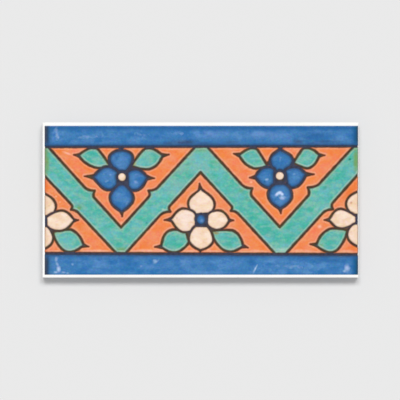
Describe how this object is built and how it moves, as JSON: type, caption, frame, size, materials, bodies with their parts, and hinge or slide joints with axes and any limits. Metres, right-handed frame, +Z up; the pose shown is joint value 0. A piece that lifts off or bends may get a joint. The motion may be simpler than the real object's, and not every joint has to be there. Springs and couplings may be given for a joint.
{
  "type": "border tile",
  "caption": "Rectangular glazed ceramic border tile with a zigzag ribbon, flowers and leaves between two plain bands.",
  "frame": {"origin": "centre of the bounding box at the back face", "axes": "+X along the tile, the repeat's direction; +Y across it, towards the band that the blue flowers hang from; +Z up out of the glazed face"},
  "size_m": [0.1514, 0.0744, 0.01],
  "materials": {
    "glazed_tile": "gloss",
    "bare_clay": "matte",
    "drawn_line": "matte",
    "blue_glaze": "gloss",
    "turquoise_glaze": "gloss",
    "orange_glaze": "gloss",
    "cream_glaze": "gloss"
  },
  "bodies": {
    "root": {"border_tile": "glazed_tile"}
  },
  "joints": []
}
